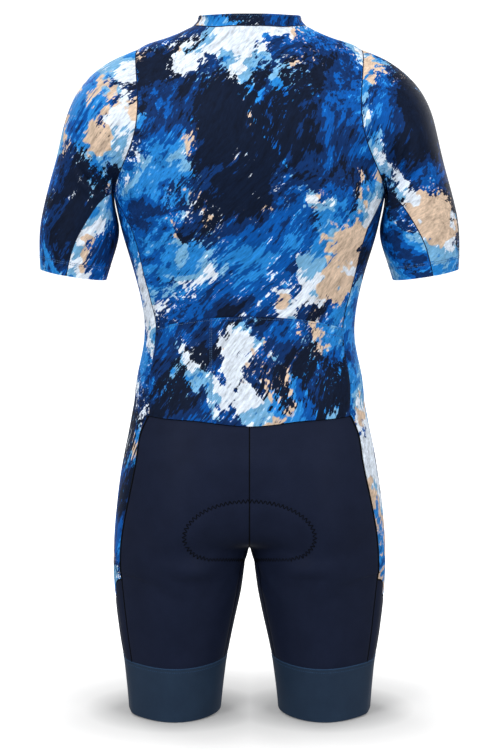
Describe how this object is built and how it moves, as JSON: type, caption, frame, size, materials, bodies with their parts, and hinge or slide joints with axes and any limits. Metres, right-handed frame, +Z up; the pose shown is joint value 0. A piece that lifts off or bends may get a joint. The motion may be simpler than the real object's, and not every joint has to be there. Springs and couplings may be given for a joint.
{
  "type": "triathlon suit",
  "caption": "Short-sleeved one-piece triathlon suit with a low standing collar, full front zip, curved back pocket, padded seat and wide leg bands.",
  "frame": {"origin": "midway between the neck ends of the two shoulder seams, where the wearer's shoulders carry the suit", "axes": "+Z up, +X the wearer's left, -Y the front with the zip"},
  "size_m": [0.5766, 0.2305, 0.9626],
  "materials": {
    "printed_knit": "matt stretch knit with an all-over print",
    "navy_knit": "dense stretch knit, slightly satin",
    "band_knit": "firm gripper knit",
    "pad_foam": "brushed cover over foam",
    "zip_tape": "woven tape",
    "zip_teeth": "moulded",
    "zip_metal": "dark lacquered"
  },
  "bodies": {
    "suit": {"back_panel": "printed_knit", "collar": "printed_knit", "back_pocket": "printed_knit", "front_left": "printed_knit", "front_right": "printed_knit", "side_panel_left": "printed_knit", "side_panel_right": "printed_knit", "sleeve_left": "printed_knit", "sleeve_right": "printed_knit", "underarm_left": "printed_knit", "underarm_right": "printed_knit", "seat_left": "navy_knit", "seat_right": "navy_knit", "thigh_front_left": "navy_knit", "thigh_front_right": "navy_knit", "leg_side_left": "navy_knit", "leg_side_right": "navy_knit", "leg_band_left": "band_knit", "leg_band_right": "band_knit", "seat_pad": "pad_foam", "zip_tape_left": "zip_tape", "zip_tape_right": "zip_tape", "zip_chain": "zip_teeth", "zip_slider": "zip_metal"},
    "zip_pull": {"zip_pull": "zip_metal"}
  },
  "joints": [
    {"name": "pull_swing", "type": "hinge", "parent": "suit", "child": "zip_pull", "pos_m": [0, -0.07031, -0.03595], "axis": [-1, 0, 0], "range_deg": [0, 150]}
  ]
}
